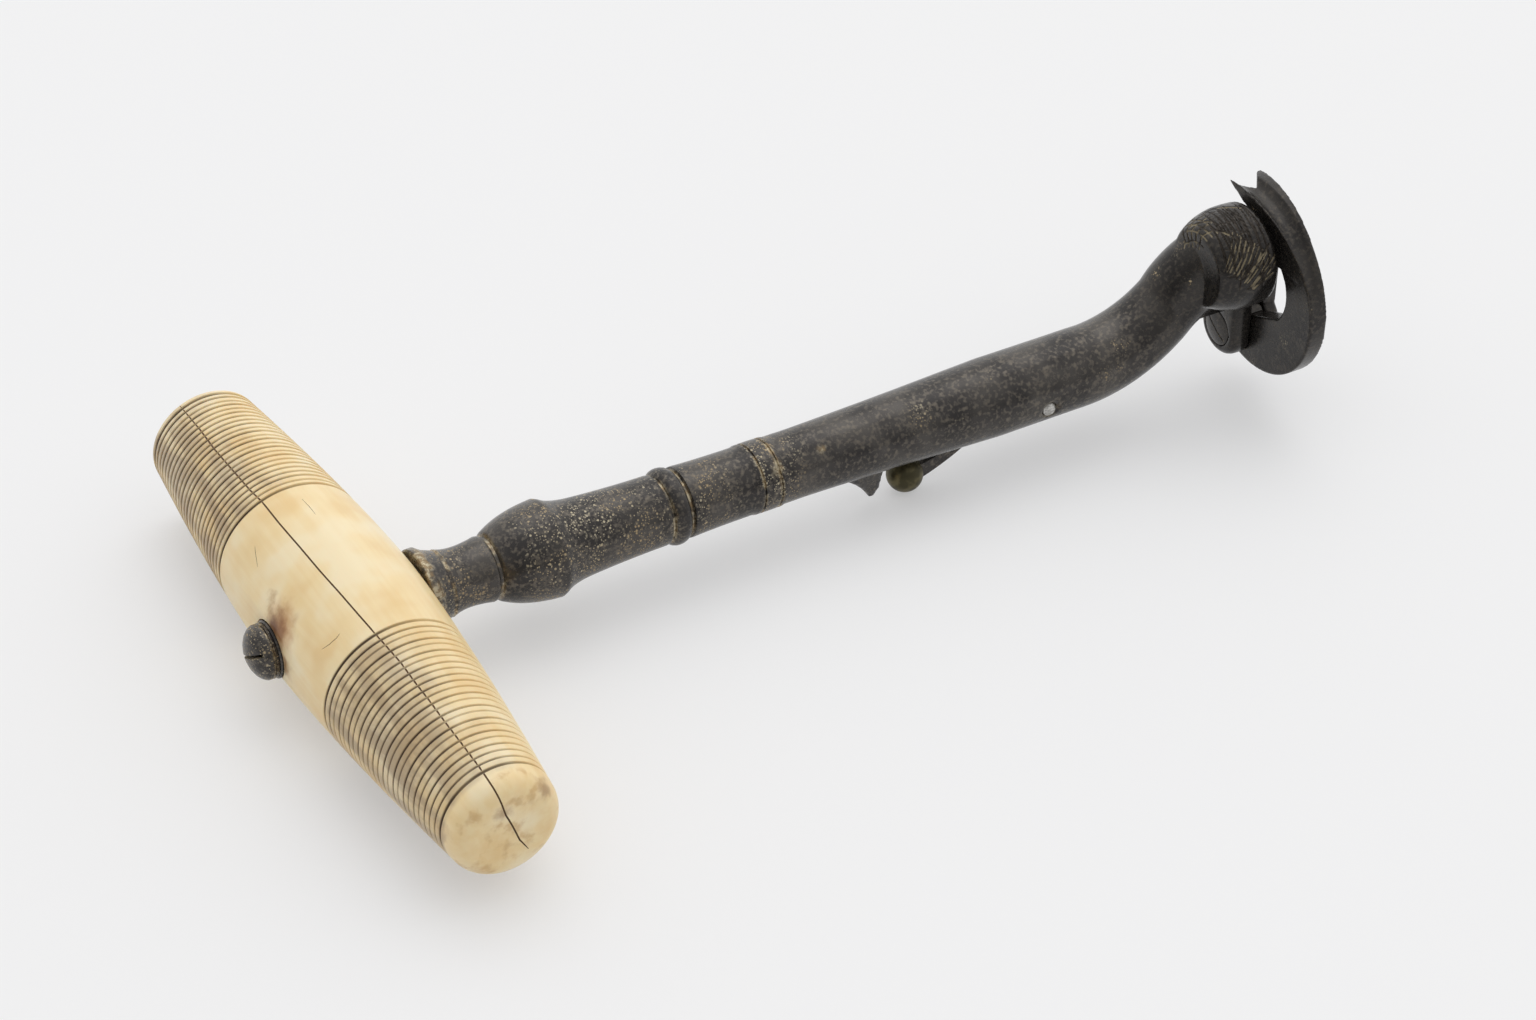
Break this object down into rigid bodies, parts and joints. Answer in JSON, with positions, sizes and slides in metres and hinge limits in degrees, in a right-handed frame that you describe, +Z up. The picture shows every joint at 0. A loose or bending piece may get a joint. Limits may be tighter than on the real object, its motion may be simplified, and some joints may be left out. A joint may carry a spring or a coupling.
{
  "type": "dental key",
  "caption": "Tooth key with a grooved cross handle, a turned shaft cranked near its tip, a scored bolster and a swinging forked claw, held by a sprung thumb catch.",
  "frame": {"origin": "under the middle of the key's bounding box, on the surface that it lies on", "axes": "+X along the shaft from the handle to the claw, +Y along the handle, +Z up when the key lies on its handle and catch knob"},
  "size_m": [0.1582, 0.0894, 0.0337],
  "materials": {
    "ivory": "aged ivory or bone, polished, with dark dirt in the grooves and a drying crack",
    "dark_steel": "dark brown-black patina with fine pitting, softly polished",
    "claw_steel": "dark patina, worn brighter on the edges",
    "old_brass": "olive-dark tarnished brass"
  },
  "bodies": {
    "key": {"handle": "ivory", "tang_washer": "dark_steel", "tang_nut": "dark_steel", "shaft": "dark_steel", "claw_screw": "claw_steel", "guide_pin": "claw_steel", "return_spring": "claw_steel"},
    "claw_arm": {"claw": "claw_steel"},
    "catch": {"catch_bolt": "claw_steel", "catch_knob": "old_brass"}
  },
  "joints": [
    {"name": "claw_swing", "type": "hinge", "parent": "key", "child": "claw_arm", "pos_m": [0.07515, 0.0017, 0.0099], "axis": [1, 0, 0], "range_deg": [0, 95]},
    {"name": "catch_slide", "type": "slide", "parent": "key", "child": "catch", "axis": [-1, 0, 0], "range_m": [0, 0.0018], "stiffness_N_per_m": 500, "springref_m": -0.003}
  ]
}
